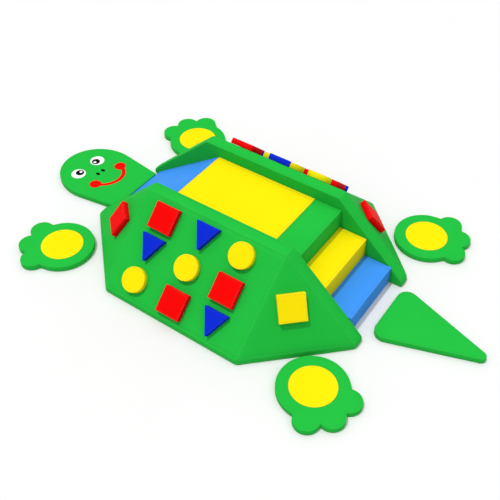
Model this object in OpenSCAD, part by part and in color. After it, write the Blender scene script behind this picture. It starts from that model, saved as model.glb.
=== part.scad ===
// Soft-play turtle: a foam slide, deck and steps between two faceted foam shells,
// with loose head, paw and tail mats and stick-on shapes. Millimetres.
// +X runs from the head to the tail, +Y to the far shell, and z = 0 is the floor.

/* [Slide, deck and steps] */
// Width of the slide, the deck and the steps
module_w = 600; // [400:10:800]
// Height of one step; the deck is three steps high
rise = 165; // [120:1:200]
// Depth of one tread
tread = 225; // [180:1:300]
// Length of the deck block
deck_l = 885; // [600:5:1100]
// Distance of the deck's slide end in front of the middle of the shells
deck_front = 475; // [400:5:500]
// Length of the slide
slide_l = 652; // [500:1:680]
// Height of the slide's low end
slide_toe_h = 50; // [20:1:60]

/* [Shells] */
// Height of a shell
shell_h = 590; // [520:5:700]
// Length of a shell's flat top band
shell_top_l = 1200; // [1000:10:1300]
// Length of a shell over its blunt ends
shell_base_l = 2380; // [2300:10:2600]
// Width of the band along a shell's inner edge
shell_band_w = 95; // [60:5:140]
// Length of a shell's outer bottom edge
shell_side_l = 1180; // [1000:10:1300]
// Depth of a shell from its inner face to its outer bottom edge
shell_d = 675; // [500:5:800]
// Height of the upright border along a shell's foot
border_h = 50; // [20:1:80]

/* [Stick-on shapes] */
// Side of a square, and the width and height of a triangle
shape_s = 198; // [140:2:220]
// Diameter of a disc
disc_d = 190; // [140:5:220]
// How far a shape stands off the shell
shape_h = 48; // [20:1:60]
// Spacing of the shapes along the shell
shape_pitch_x = 342; // [240:2:360]
// Spacing of the shapes up the shell
shape_pitch_up = 252; // [230:2:260]
// Offset of the middle column towards the head
shape_shift = 20; // [0:5:40]
// Diameter of a loop patch under a shape
patch_d = 100; // [60:5:110]
// Thickness of a loop patch
patch_t = 1.6; // [1:0.1:3]

/* [Mats] */
// Thickness of the head, paw and tail mats
mat_t = 50; // [30:1:80]
// Length of the head's round end
head_round_l = 706; // [600:2:900]
// Width of the head's round end
head_w = 628; // [500:2:700]
// Length of the head with its neck
head_l = 772; // [760:2:900]
// Width of the neck
neck_w = 518; // [300:2:580]
// How far the neck runs on towards the slide
neck_reach = 4; // [0:1:11]
// Turn of the head mat about its neck, in degrees
head_turn = 0.5; // [-4:0.5:4]
// Diameter of a paw without its toes
paw_d = 500; // [400:5:520]
// Diameter of a toe
toe_d = 186; // [120:2:220]
// Distance of a toe's centre from the paw's centre
toe_reach = 250; // [220:2:300]
// Angle between two toes, in degrees
toe_step = 38.4; // [30:0.1:50]
// Diameter of the round patch on a paw
paw_patch_d = 328; // [200:2:400]
// Length of the tail
tail_l = 750; // [600:5:900]
// Width of the tail at its root
tail_w = 500; // [300:5:560]
// Corner radius at the tail's root
tail_root_r = 80; // [30:1:90]
// Radius of the tail's tip
tail_tip_r = 37; // [20:1:60]

/* [Covers and zips] */
// Thickness of a sewn cover
cover_t = 1.5; // [1:0.1:3]
// Thickness of a sewn-on patch
applique_t = 0.8; // [0.5:0.1:2]
// Width of a zip's tape
zip_w = 24; // [20:1:32]

/* [Hidden] */
$fn = 96;
gap = 1;                    // between two modules that stand side by side
slip = 0.3;                 // between a rounded core and its cover
deck_h = 3 * rise;
deck_x0 = -deck_front;
deck_x1 = deck_x0 + deck_l;
step_x0 = deck_x1 + gap;
step_x = [for (i = [0:3]) step_x0 + i * tread];
step_z = [for (i = [0:2]) deck_h - i * rise];
slide_x1 = deck_x0 - gap;
slide_x0 = slide_x1 - slide_l;
face_y = module_w / 2 + gap;
band_y = face_y + shell_band_w;
side_y = face_y + shell_d;
end_x = shell_base_l / 2;
top_x = shell_top_l / 2;
side_x = shell_side_l / 2;

// the mats' places on the floor: name, x, y, turn of the middle toe
PAWS = [
    ["near_front_paw", -1175, -832, 212],
    ["far_front_paw", -1146, 858, 149],
    ["near_rear_paw", 1121, -850, -30],
    ["far_rear_paw", 1117, 874, 28],
];
neck_x = -1140;
tail_x = 1213;
tail_y = 15;

// the shapes on a shell: row above the middle row, column towards the tail, place, kind,
// and how far it is stuck on away from its place, towards the head and up the facet
GRID = [
    [1, -1, "top_front", "square", [-5, -4]],
    [1, 0, "top_centre", "triangle", [-15, -2]],
    [1, 1, "top_rear", "disc", [5, 5]],
    [0, -1, "mid_front", "triangle", [5, 4]],
    [0, 0, "mid_centre", "disc", [7, 9]],
    [0, 1, "mid_rear", "square", [3, -2]],
    [-1, -1, "low_front", "disc", [11, 9]],
    [-1, 0, "low_centre", "square", [-9, -4]],
    [-1, 1, "low_rear", "triangle", [-3, -2]],
];
SIDES = ["near", "far"];
ENDS = [["head_end", -1], ["tail_end", 1]];

green = [0.17, 0.80, 0.29];
yellow = [1.0, 0.93, 0.05];
sky = [0.26, 0.61, 0.97];
blue = [0.08, 0.22, 0.84];
red = [0.98, 0.05, 0.05];
foam = [0.93, 0.90, 0.78];
black = [0.03, 0.03, 0.03];
zip_grey = [0.35, 0.36, 0.38];

function unit(v) = v / norm(v);
function left_of(v) = [-v.y, v.x];
// A convex outline, drawn anticlockwise, moved inwards by g
function inset(p, g) = [
    for (i = [0:len(p) - 1])
        let (a = p[(i + len(p) - 1) % len(p)], b = p[i], c = p[(i + 1) % len(p)],
             m = left_of(unit(b - a)), n = left_of(unit(c - b)))
        b + g * (m + n) / (1 + m * n)
];
function arc(c, r, a0, a1, n) = [
    for (i = [0:n]) let (a = a0 + (a1 - a0) * i / n) c + r * [cos(a), sin(a)]
];

// A frame on a plane: x along u, z along the outward normal n, origin at o
module on_plane(o, u, n) {
    v = cross(n, u);
    multmatrix([
        [u.x, v.x, n.x, o.x],
        [u.y, v.y, n.y, o.y],
        [u.z, v.z, n.z, o.z],
        [0, 0, 0, 1],
    ]) children();
}

// ---- zips: z = 0 is the cover's outer face, and x runs along the zip ----
zip_garage = 46;
zip_coil_w = 6;
zip_slider = [20, 14, 3.4];
zip_pull = [20, 8, 1.2];
zip_pocket_d = 4;

module zip_cut(l) {
    translate([-l / 2, -zip_w / 2, -cover_t - 0.01]) cube([l, zip_w, cover_t + 1]);
    translate([l / 2 - zip_garage, -zip_w / 2, -zip_pocket_d]) cube([zip_garage, zip_w, zip_pocket_d + 1]);
}

module zip(l) {
    run = l - zip_garage;
    tape_w = (zip_w - zip_coil_w) / 2;
    color(zip_grey) {
        for (y = [-zip_w / 2, zip_coil_w / 2])
            translate([-l / 2, y, -cover_t]) cube([run, tape_w, cover_t]);
        translate([-l / 2, -zip_coil_w / 2, -cover_t]) cube([run, zip_coil_w, cover_t - 0.3]);
        translate([l / 2 - zip_garage + 2, -zip_slider.y / 2, -zip_pocket_d]) cube(zip_slider);
        translate([l / 2 - zip_garage + 2 + zip_slider.x, -zip_pull.y / 2, -zip_pocket_d]) cube(zip_pull);
    }
}

module deck_zip_place() on_plane([deck_x0, 0, 80], [0, -1, 0], [-1, 0, 0]) children();
module slide_zip_place() on_plane([slide_x1, 0, 140], [0, 1, 0], [1, 0, 0]) children();
module steps_zip_place() on_plane([step_x0, 0, 80], [0, -1, 0], [-1, 0, 0]) children();
module shell_zip_place() on_plane([0, face_y, 100], [1, 0, 0], [0, -1, 0]) children();
module_zip_l = 480;
shell_zip_l = 900;

// ---- the three modules between the shells ----
// An outline in x and z, carried across the width of the modules
module across(outline, g) {
    translate([0, module_w / 2 - g, 0]) rotate([90, 0, 0])
        linear_extrude(module_w - 2 * g) polygon(outline);
}

deck_outline = [[deck_x0, 0], [deck_x1, 0], [deck_x1, deck_h], [deck_x0, deck_h]];
slide_outline = [[slide_x0, 0], [slide_x1, 0], [slide_x1, deck_h], [slide_x0, slide_toe_h]];
// The stair's outline isn't convex, but its corners are square, so inset() holds
steps_outline = [
    [step_x[0], 0], [step_x[3], 0],
    [step_x[3], step_z[2]], [step_x[2], step_z[2]],
    [step_x[2], step_z[1]], [step_x[1], step_z[1]],
    [step_x[1], step_z[0]], [step_x[0], step_z[0]],
];

module module_cover(outline) {
    difference() {
        across(outline, 0);
        across(inset(outline, cover_t), cover_t);
    }
}

module platform_core() color(foam) difference() {
    across(inset(deck_outline, cover_t), cover_t);
    deck_zip_place() zip_cut(module_zip_l);
}
module platform_cover() color(yellow) difference() {
    module_cover(deck_outline);
    deck_zip_place() zip_cut(module_zip_l);
}
module platform_zip() deck_zip_place() zip(module_zip_l);

module slide_core() color(foam) difference() {
    across(inset(slide_outline, cover_t), cover_t);
    slide_zip_place() zip_cut(module_zip_l);
}
module slide_cover() color(sky) difference() {
    module_cover(slide_outline);
    slide_zip_place() zip_cut(module_zip_l);
}
module slide_zip() slide_zip_place() zip(module_zip_l);

module steps_core() color(foam) difference() {
    across(inset(steps_outline, cover_t), cover_t);
    steps_zip_place() zip_cut(module_zip_l);
}
// One coloured panel of the stair's cover: the stretch under tread i
module steps_panel(i, c) color(c) intersection() {
    difference() {
        module_cover(steps_outline);
        steps_zip_place() zip_cut(module_zip_l);
    }
    translate([step_x[i], -module_w, -1]) cube([tread, 2 * module_w, step_z[i] + 1]);
}
module steps_zip() steps_zip_place() zip(module_zip_l);

// ---- the shells: drawn for the far side, mirrored for the near side ----
module on_side(s) mirror([0, s == "near" ? 1 : 0, 0]) children();

// A shell's outlines from the side, from above and from its end
shell_profile = [[-end_x, 0], [end_x, 0], [end_x, border_h], [top_x, shell_h], [-top_x, shell_h], [-end_x, border_h]];
shell_plan = [[-end_x, face_y], [end_x, face_y], [end_x, band_y], [side_x, side_y], [-side_x, side_y], [-end_x, band_y]];
shell_section = [[face_y, 0], [side_y, 0], [side_y, border_h], [band_y, shell_h], [face_y, shell_h]];

// The frame on an end facet, over its middle line: e is -1 at the head, 1 at the tail
function end_low(e) = [e * end_x, band_y, border_h];
function end_far(e) = [e * side_x, side_y, border_h];
function end_top(e) = [e * top_x, band_y, shell_h];
function end_along(e) = unit(end_far(e) - end_low(e));
function end_foot(e) = end_low(e) + end_along(e) * (end_along(e) * (end_top(e) - end_low(e)));
module on_end_facet(e)
    on_plane(end_foot(e), e * end_along(e), e * unit(cross(end_along(e), end_top(e) - end_low(e)))) children();

// The frame on the large middle facet, at the middle of its bottom edge
side_up = unit([0, band_y - side_y, shell_h - border_h]);
module on_side_facet() on_plane([0, side_y, border_h], [-1, 0, 0], cross([-1, 0, 0], side_up)) children();

module shell_solid(g) {
    big = 2 * shell_base_l;
    intersection() {
        translate([0, side_y, 0]) rotate([90, 0, 0])
            linear_extrude(shell_d) polygon(inset(shell_profile, g));
        linear_extrude(shell_h) polygon(inset(shell_plan, g));
        translate([-end_x, 0, 0]) rotate([90, 0, 90])
            linear_extrude(2 * end_x) polygon(inset(shell_section, g));
        on_end_facet(-1) translate([-big / 2, -big / 2, -big - g]) cube(big);
        on_end_facet(1) translate([-big / 2, -big / 2, -big - g]) cube(big);
    }
}

module shell_core(s) color(foam) on_side(s) difference() {
    shell_solid(cover_t);
    shell_zip_place() zip_cut(shell_zip_l);
}
module shell_cover(s) color(green) on_side(s) difference() {
    shell_solid(0);
    shell_solid(cover_t);
    shell_zip_place() zip_cut(shell_zip_l);
}
module shell_zip(s) on_side(s) shell_zip_place() zip(shell_zip_l);

// ---- the stick-on shapes and the loop patches that hold them ----
mid_row = 400;
end_row = 322;
hook_gap = 2;               // the patch and the shape's own hook layer

module grid_place(g) on_side_facet()
    translate([shape_shift - g[1] * shape_pitch_x + g[4].x, mid_row + g[0] * shape_pitch_up + g[4].y, 0]) children();
// The square on an end facet, and how far it is stuck on off the facet's middle line
function end_nudge(s, e) = e < 0 ? [22, -12] : s == "near" ? [0, 0] : [-30, 10];
module end_place(s, e) on_end_facet(e) translate(end_nudge(s, e) + [0, end_row]) children();

module shape(kind) {
    translate([0, 0, hook_gap]) linear_extrude(shape_h - hook_gap)
        if (kind == "square") square(shape_s, center = true);
        else if (kind == "disc") circle(d = disc_d);
        else polygon(shape_s / 2 * [[-1, 1], [0, -1], [1, 1]]);
}
function kind_colour(kind) = kind == "square" ? red : kind == "disc" ? yellow : blue;
// On both shells the square nearer the near-side head or the far-side tail is red
function end_colour(s, e) = (s == "near") == (e < 0) ? red : yellow;

// The middle of a shape's inner circle, which its loop patch sits on
function patch_y(kind) = kind == "triangle" ? shape_s * (1 / 2 - 1 / (1 + sqrt(5))) : 0;

module grid_shape(s, g) color(kind_colour(g[3])) on_side(s) grid_place(g) shape(g[3]);
module end_shape(s, e) color(end_colour(s, e)) on_side(s) end_place(s, e) shape("square");

module loop_patches(s) color(black) on_side(s) {
    for (g = GRID) grid_place(g) translate([0, patch_y(g[3]), 0]) cylinder(d = patch_d, h = patch_t);
    for (e = ENDS) end_place(s, e[1]) cylinder(d = patch_d, h = patch_t);
}

// ---- the mats: each outline is drawn g inside its cover ----
module mat_core(g) translate([0, 0, cover_t]) linear_extrude(mat_t - 2 * cover_t) children();
module mat_cover() difference() {
    linear_extrude(mat_t) children(0);
    translate([0, 0, cover_t]) linear_extrude(mat_t - 2 * cover_t) children(1);
}

// The head: part of an ellipse, from where the neck's straight sides touch it.
// It turns about its origin and points along +x, and the neck's end lies along the slide.
module head_outline(g) {
    a = head_round_l / 2 - g;
    b = head_w / 2 - g;
    centre = head_l - head_round_l / 2;
    corner = [g - centre, neck_w / 2 - g];
    q = [corner.x / a, corner.y / b];
    touch = atan2(q.y, q.x) - acos(1 / norm(q));
    polygon(concat(
        [for (i = [-32:32]) let (t = touch * i / 32) [centre + a * cos(t), b * sin(t)]],
        [for (y = [corner.y, -corner.y]) [g - neck_reach + y * tan(head_turn), y]]
    ));
}
module head_place() translate([neck_x, 0, 0]) rotate(180 + head_turn) children();

module head_core() color(foam) head_place() mat_core() head_outline(cover_t + slip);
module head_cover() color(green) head_place() mat_cover() {
    head_outline(0);
    head_outline(cover_t);
}

// The face, seen with the neck below: x is up the head, y across it
eye_x = 538;
eye_y = 113;
eye_d = 124;
pupil_d = 72;
pupil_in = 17;
glint_d = 26;
glint_in = 29;
nostril_x = 402;
nostril_y = 30;
nostril_w = 27;
nostril_l = 42;
cheek_x = 323;
cheek_y = 151;
cheek_d = 98;
smile_depth = 120;
smile_w = 33;
face_lean = 0.08;           // how far the face leans to one side, for each length up the head
face_tilt = 0.038;          // and how far one of its sides is ahead of the other
face_middle = 409;
smile_r = (cheek_y * cheek_y + smile_depth * smile_depth) / (2 * smile_depth);
smile_half = asin(cheek_y / smile_r);
function smile_edge(k) =
    arc([cheek_x + smile_r - smile_depth, 0], smile_r + k * smile_w / 2, 180 - smile_half, 180 + smile_half, 40);

module on_face(level) head_place() translate([0, 0, mat_t + level * applique_t]) children();
function face_at(p) = [p.x + face_tilt * p.y, p.y + face_lean * (p.x - face_middle)];
module face_disc(x, y, d) translate(face_at([x, y])) cylinder(d = d, h = applique_t);

module head_eyes() color("white") {
    for (s = [-1, 1]) {
        on_face(0) face_disc(eye_x, s * eye_y, eye_d);
        on_face(2) face_disc(eye_x, s * (eye_y - glint_in), glint_d);
    }
}
module head_pupils_and_nostrils() color(black) {
    for (s = [-1, 1]) {
        on_face(1) face_disc(eye_x, s * (eye_y - pupil_in), pupil_d);
        on_face(0) translate(face_at([nostril_x, s * nostril_y]))
            linear_extrude(applique_t) union() {
                square([nostril_l - nostril_w, nostril_w], center = true);
                for (k = [-1, 1]) translate([k * (nostril_l - nostril_w) / 2, 0]) circle(d = nostril_w);
            }
    }
}
module head_mouth() color(red) on_face(0) {
    linear_extrude(applique_t) union() {
        for (s = [-1, 1]) translate(face_at([cheek_x, s * cheek_y])) circle(d = cheek_d);
        polygon(concat(
            [for (p = smile_edge(1)) face_at(p)],
            [for (k = [len(smile_edge(-1)) - 1:-1:0]) face_at(smile_edge(-1)[k])]
        ));
    }
}

module paw_outline(g) union() {
    circle(d = paw_d - 2 * g);
    for (i = [-1:1]) rotate(i * toe_step) translate([toe_reach, 0]) circle(d = toe_d - 2 * g);
}
module paw_place(p) translate([p[1], p[2], 0]) rotate(p[3]) children();
module paw_core(p) color(foam) paw_place(p) mat_core() paw_outline(cover_t + slip);
module paw_cover(p) color(green) paw_place(p) mat_cover() {
    paw_outline(0);
    paw_outline(cover_t);
}
module paw_patch(p) color(yellow) paw_place(p) translate([0, 0, mat_t]) cylinder(d = paw_patch_d, h = applique_t);

// The tail: two root corners and the tip, joined by straight sides
module tail_outline(g) {
    root = [tail_root_r, tail_w / 2 - tail_root_r];
    tip = [tail_l - tail_tip_r, 0];
    side = tip - root;
    lean = atan2(side.y, side.x) + acos((tail_root_r - tail_tip_r) / norm(side));
    polygon(concat(
        arc(root, tail_root_r - g, lean, 180, 16),
        arc([root.x, -root.y], tail_root_r - g, 180, 360 - lean, 16),
        arc(tip, tail_tip_r - g, -lean, lean, 24)
    ));
}
module tail_place() translate([tail_x, tail_y, 0]) children();
module tail_core() color(foam) tail_place() mat_core() tail_outline(cover_t + slip);
module tail_cover() color(green) tail_place() mat_cover() {
    tail_outline(0);
    tail_outline(cover_t);
}

platform_core();
platform_cover();
platform_zip();
slide_core();
slide_cover();
slide_zip();
steps_core();
steps_panel(0, green);  // steps_cover_green
steps_panel(1, yellow);  // steps_cover_yellow
steps_panel(2, sky);  // steps_cover_blue
steps_zip();
head_core();
head_cover();
head_eyes();
head_pupils_and_nostrils();
head_mouth();
tail_core();
tail_cover();
for (p = PAWS) {
    paw_core(p);
    paw_cover(p);
    paw_patch(p);
}
for (s = SIDES) {
    shell_core(s);
    shell_cover(s);
    shell_zip(s);
    loop_patches(s);
    for (g = GRID)
        grid_shape(s, g);
    for (e = ENDS)
        end_shape(s, e[1]);
}
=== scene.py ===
"""A soft-play turtle: a slide, a deck and steps between two shells, with loose mats and stick-on shapes.

Every foam piece is built as the sewn vinyl cover that shows, around the fixed frame, in metres.
+X runs from the head to the tail, +Y to the far shell, and z = 0 is the floor.
"""

from __future__ import annotations

import logging
import math
from dataclasses import dataclass, field
from enum import Enum

import bmesh
import bpy
import numpy as np
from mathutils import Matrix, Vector

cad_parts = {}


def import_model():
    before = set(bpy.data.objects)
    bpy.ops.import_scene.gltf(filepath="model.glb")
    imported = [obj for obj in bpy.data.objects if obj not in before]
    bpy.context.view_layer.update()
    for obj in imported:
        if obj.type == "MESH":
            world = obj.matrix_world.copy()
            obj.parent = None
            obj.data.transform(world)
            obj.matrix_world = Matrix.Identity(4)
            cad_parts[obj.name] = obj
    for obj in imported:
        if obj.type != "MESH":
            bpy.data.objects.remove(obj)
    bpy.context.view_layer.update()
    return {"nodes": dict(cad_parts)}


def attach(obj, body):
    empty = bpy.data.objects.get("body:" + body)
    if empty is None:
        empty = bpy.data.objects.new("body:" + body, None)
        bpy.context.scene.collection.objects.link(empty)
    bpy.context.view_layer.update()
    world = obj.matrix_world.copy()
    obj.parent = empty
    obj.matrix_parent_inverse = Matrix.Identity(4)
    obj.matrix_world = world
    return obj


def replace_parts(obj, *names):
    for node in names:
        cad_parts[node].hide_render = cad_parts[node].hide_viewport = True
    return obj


log = logging.getLogger("turtle")

MM = 0.001
RUB = "rub"  # the vertex attribute that says how close a point is to an edge hands rub against
MAT_RIM = 7.0 * MM
MAT_SPACING = 9.0 * MM
SEED = 11

# lengths, pitches and radii of stitches: on the shapes, round the face, and round a paw's patch
SMALL_STITCH = (4.6 * MM, 6.6 * MM, 0.5 * MM)
FACE_STITCH = (3.0 * MM, 2.6 * MM, 0.45 * MM)
PATCH_STITCH = (4.0 * MM, 3.0 * MM, 0.5 * MM)


def unit(v: np.ndarray) -> np.ndarray:
    """Returns v at length 1."""
    return np.asarray(v, float) / np.linalg.norm(v)


def units(rows: np.ndarray) -> np.ndarray:
    """Returns each row at length 1."""
    return rows / np.linalg.norm(rows, axis=1)[:, None]


def read_off(marks: np.ndarray, run: np.ndarray, values: np.ndarray) -> np.ndarray:
    """Returns the rows of values that lie at some marks along a run.

    Args:
        marks: the distances to read at.
        run: the distance of each row of values.
        values: the rows.

    Returns:
        One row for each mark, between the two rows beside it.
    """
    return np.stack([np.interp(marks, run, column) for column in values.T], 1)


def run_along(line: np.ndarray) -> np.ndarray:
    """Returns the distance of each of a line's points from its start, along the line."""
    return np.concatenate([[0.0], np.cumsum(np.linalg.norm(np.diff(line, axis=0), axis=1))])


def spread(length: float, count: int) -> np.ndarray:
    """Returns the middles of count equal parts of a length."""
    return (np.arange(count) + 0.5) * length / count


def ease(t: np.ndarray) -> np.ndarray:
    """Returns t held between 0 and 1 and eased at both ends."""
    t = np.clip(t, 0.0, 1.0)
    return t * t * (3.0 - 2.0 * t)


# ---------------------------------------------------------------- finishes


class Sheet:
    """The nodes of one shader tree, laid down and joined with little writing."""

    def __init__(self, tree: bpy.types.NodeTree) -> None:
        """Starts on an existing tree.

        Args:
            tree: a material's node tree, or a node group.
        """
        self.tree = tree

    def add(self, kind: str, inputs: dict | None = None, **settings: object) -> bpy.types.Node:
        """Adds a node.

        Args:
            kind: Blender's name for the node type.
            inputs: a value or an output socket for each named or numbered input.
            **settings: the node's own properties.

        Returns:
            The new node.
        """
        node = self.tree.nodes.new(kind)
        for key, value in settings.items():
            setattr(node, key, value)
        for key, value in (inputs or {}).items():
            if isinstance(value, bpy.types.NodeSocket):
                self.tree.links.new(value, node.inputs[key])
            else:
                node.inputs[key].default_value = value
        return node

    def math(self, operation: str, a: object, b: object = 0.0, clamp: bool = False) -> bpy.types.NodeSocket:
        """Returns the result of a sum on two values or sockets."""
        return self.add("ShaderNodeMath", {0: a, 1: b}, operation=operation, use_clamp=clamp).outputs[0]

    def times(self, a: object, b: object) -> bpy.types.NodeSocket:
        """Returns one value or socket times another."""
        return self.math("MULTIPLY", a, b)

    def plus(self, a: object, b: object, clamp: bool = False) -> bpy.types.NodeSocket:
        """Returns one value or socket plus another."""
        return self.math("ADD", a, b, clamp)

    def mix(self, share: object, a: object, b: object) -> bpy.types.NodeSocket:
        """Returns colour a turned towards colour b by a share."""
        node = self.add("ShaderNodeMix", {"Factor": share, 6: a, 7: b}, data_type="RGBA")
        return node.outputs[2]

    def band(self, value: object, low: float, high: float) -> bpy.types.NodeSocket:
        """Returns value spread from 0 at low to 1 at high, held at both ends."""
        node = self.add("ShaderNodeMapRange", {"Value": value, "From Min": low, "From Max": high})
        return node.outputs["Result"]

    def noise(self, where: object, scale: float, detail: float = 3.0) -> bpy.types.NodeSocket:
        """Returns cloudy noise from 0 to 1 of a given number of clouds to the metre."""
        inputs = {"Vector": where, "Scale": scale, "Detail": detail}
        return self.add("ShaderNodeTexNoise", inputs).outputs[0]


def fresh_material(name: str) -> tuple[bpy.types.Material, Sheet]:
    """Returns a new material without nodes, and a sheet on its tree."""
    made = bpy.data.materials.new(name)
    made.use_nodes = True
    made.node_tree.nodes.clear()
    return made, Sheet(made.node_tree)


class Effects:
    """The shader groups that several finishes share, each built once."""

    def __init__(self) -> None:
        """Starts with no group built."""
        self.built: dict[str, bpy.types.NodeTree] = {}

    def group(self, name: str, sockets: list[tuple[str, str, str]]) -> tuple[bpy.types.NodeTree, Sheet]:
        """Makes an empty group with its sockets.

        Args:
            name: the group's name.
            sockets: the name, "INPUT" or "OUTPUT", and the socket type of each socket.

        Returns:
            The group and a sheet on it.
        """
        tree = bpy.data.node_groups.new(name, "ShaderNodeTree")
        for label, way, kind in sockets:
            tree.interface.new_socket(name=label, in_out=way, socket_type=f"NodeSocket{kind}")
        self.built[name] = tree
        return tree, Sheet(tree)

    def grain(self) -> bpy.types.NodeTree:
        """Returns the pebbled grain pressed into vinyl, with the soft unevenness of the foam under it."""
        name = "pebbled grain"
        if name in self.built:
            return self.built[name]
        sockets = [("Where", "INPUT", "Vector"), ("Cells", "INPUT", "Float"), ("Height", "OUTPUT", "Float")]
        tree, s = self.group(name, sockets)
        inner = s.add("NodeGroupInput").outputs
        wander = s.add("ShaderNodeTexNoise", {"Vector": inner["Where"], "Scale": 260.0, "Detail": 2.0})
        bent = s.add("ShaderNodeVectorMath", {0: wander.outputs["Color"], "Scale": 0.0012}, operation="SCALE")
        moved = s.add("ShaderNodeVectorMath", {0: inner["Where"], 1: bent.outputs[0]}, operation="ADD")
        cells = s.add("ShaderNodeTexVoronoi", {"Vector": moved.outputs[0], "Scale": inner["Cells"]},
                      feature="SMOOTH_F1")
        domes = s.math("SUBTRACT", 1.0, s.math("POWER", cells.outputs["Distance"], 1.6))
        pores = s.noise(inner["Where"], 2400.0, 2.0)
        height = s.plus(s.times(domes, 0.75), s.times(pores, 0.25))
        s.add("NodeGroupOutput", {"Height": height})
        return tree

    def handling(self) -> bpy.types.NodeTree:
        """Returns the marks of use: uneven tone, faint scuffs, paler rubbed edges and dust at the foot."""
        name = "marks of handling"
        if name in self.built:
            return self.built[name]
        tree, s = self.group(name, [
            ("Where", "INPUT", "Vector"), ("Colour", "INPUT", "Color"), ("Deep", "INPUT", "Color"),
            ("Rub", "INPUT", "Float"), ("Wear", "INPUT", "Float"), ("Shine", "INPUT", "Float"),
            ("Colour", "OUTPUT", "Color"), ("Roughness", "OUTPUT", "Float"),
        ])
        inner = s.add("NodeGroupInput").outputs
        where, wear = inner["Where"], inner["Wear"]
        cloud = s.band(s.noise(where, 3.5, 4.0), 0.35, 0.75)
        toned = s.mix(s.times(cloud, 0.22), inner["Colour"], inner["Deep"])
        stretched = s.add("ShaderNodeMapping", {"Vector": where, "Rotation": (0.3, 0.2, 0.7),
                                                "Scale": (9.0, 90.0, 60.0)})
        scratches = s.band(s.noise(stretched.outputs[0], 1.0, 5.0), 0.66, 0.8)
        patches = s.band(s.noise(where, 9.0), 0.45, 0.7)
        scuff = s.times(s.times(scratches, patches), wear)
        rubbed = s.times(s.times(inner["Rub"], s.band(s.noise(where, 45.0), 0.3, 0.8)), wear)
        paler = s.add("ShaderNodeHueSaturation", {"Color": toned, "Saturation": 0.86, "Value": 1.12})
        pale_share = s.plus(s.times(scuff, 0.35), s.times(rubbed, 0.5), clamp=True)
        marked = s.mix(pale_share, toned, paler.outputs[0])
        height = s.add("ShaderNodeSeparateXYZ", {0: where}).outputs["Z"]
        dust = s.times(s.times(s.band(height, 0.03, 0.0), s.band(s.noise(where, 28.0), 0.3, 0.8)), wear)
        dusty = s.mix(s.times(dust, 0.16), marked, (0.30, 0.29, 0.26, 1.0))
        rough = s.plus(inner["Shine"], s.times(cloud, 0.06))
        rough = s.plus(s.plus(rough, s.times(scuff, 0.18)), s.times(rubbed, 0.10), clamp=True)
        s.add("NodeGroupOutput", {"Colour": dusty, "Roughness": rough})
        return tree

    def weave(self) -> bpy.types.NodeTree:
        """Returns crossed threads, with the lie of each thread wandering a little."""
        name = "crossed threads"
        if name in self.built:
            return self.built[name]
        sockets = [("Where", "INPUT", "Vector"), ("Threads", "INPUT", "Float"), ("Height", "OUTPUT", "Float")]
        tree, s = self.group(name, sockets)
        inner = s.add("NodeGroupInput").outputs
        bands = []
        for direction in ("X", "Y", "Z"):
            wave = s.add("ShaderNodeTexWave", {"Vector": inner["Where"], "Scale": inner["Threads"],
                                               "Distortion": 0.6, "Detail": 1.0}, bands_direction=direction)
            bands.append(wave.outputs["Fac"])
        height = s.math("MAXIMUM", s.times(bands[0], bands[2]), s.times(bands[1], 0.7))
        s.add("NodeGroupOutput", {"Height": height})
        return tree


EFFECTS = Effects()


def colour4(rgb: tuple[float, float, float], share: float = 1.0) -> tuple[float, float, float, float]:
    """Returns a colour with each part scaled, and with full cover."""
    return (rgb[0] * share, rgb[1] * share, rgb[2] * share, 1.0)


@dataclass(frozen=True)
class Vinyl:
    """Coated play vinyl with a pressed grain and a satin surface.

    Attributes:
        name: the material's name.
        slot: a slot name, passed on to its thread and not used otherwise.
        rgb: the vinyl's own colour, linear.
        shine: its roughness where nobody has touched it.
        wear: how much scuffing and dust it shows, from 0 to 1.
        cells: how many domes its grain has to the metre.
    """

    name: str
    slot: str
    rgb: tuple[float, float, float]
    shine: float = 0.40
    wear: float = 0.5
    cells: float = 620.0

    def material(self) -> bpy.types.Material:
        """Returns the vinyl's material, made at its first use."""
        found = bpy.data.materials.get(self.name)
        if found:
            return found
        made, s = fresh_material(self.name)
        where = s.add("ShaderNodeTexCoord").outputs["Object"]
        rub = s.add("ShaderNodeAttribute", attribute_name=RUB).outputs["Fac"]
        marks = s.add("ShaderNodeGroup", node_tree=EFFECTS.handling())
        for key, value in {"Where": where, "Rub": rub}.items():
            made.node_tree.links.new(value, marks.inputs[key])
        marks.inputs["Colour"].default_value = colour4(self.rgb)
        marks.inputs["Deep"].default_value = colour4(self.rgb, 0.80)
        marks.inputs["Wear"].default_value = self.wear
        marks.inputs["Shine"].default_value = self.shine
        grain = s.add("ShaderNodeGroup", node_tree=EFFECTS.grain())
        made.node_tree.links.new(where, grain.inputs["Where"])
        grain.inputs["Cells"].default_value = self.cells
        soft = s.add("ShaderNodeBump", {"Height": s.noise(where, 14.0, 2.0), "Strength": 0.18,
                                        "Distance": 0.004})
        bump = s.add("ShaderNodeBump", {"Height": grain.outputs["Height"], "Normal": soft.outputs[0],
                                        "Strength": 0.35, "Distance": 0.00025})
        shader = s.add("ShaderNodeBsdfPrincipled", {
            "Base Color": marks.outputs["Colour"], "Roughness": marks.outputs["Roughness"],
            "Normal": bump.outputs[0], "IOR": 1.3, "Specular IOR Level": 0.02,
        })
        s.add("ShaderNodeOutputMaterial", {"Surface": shader.outputs[0]})
        return made


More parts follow.
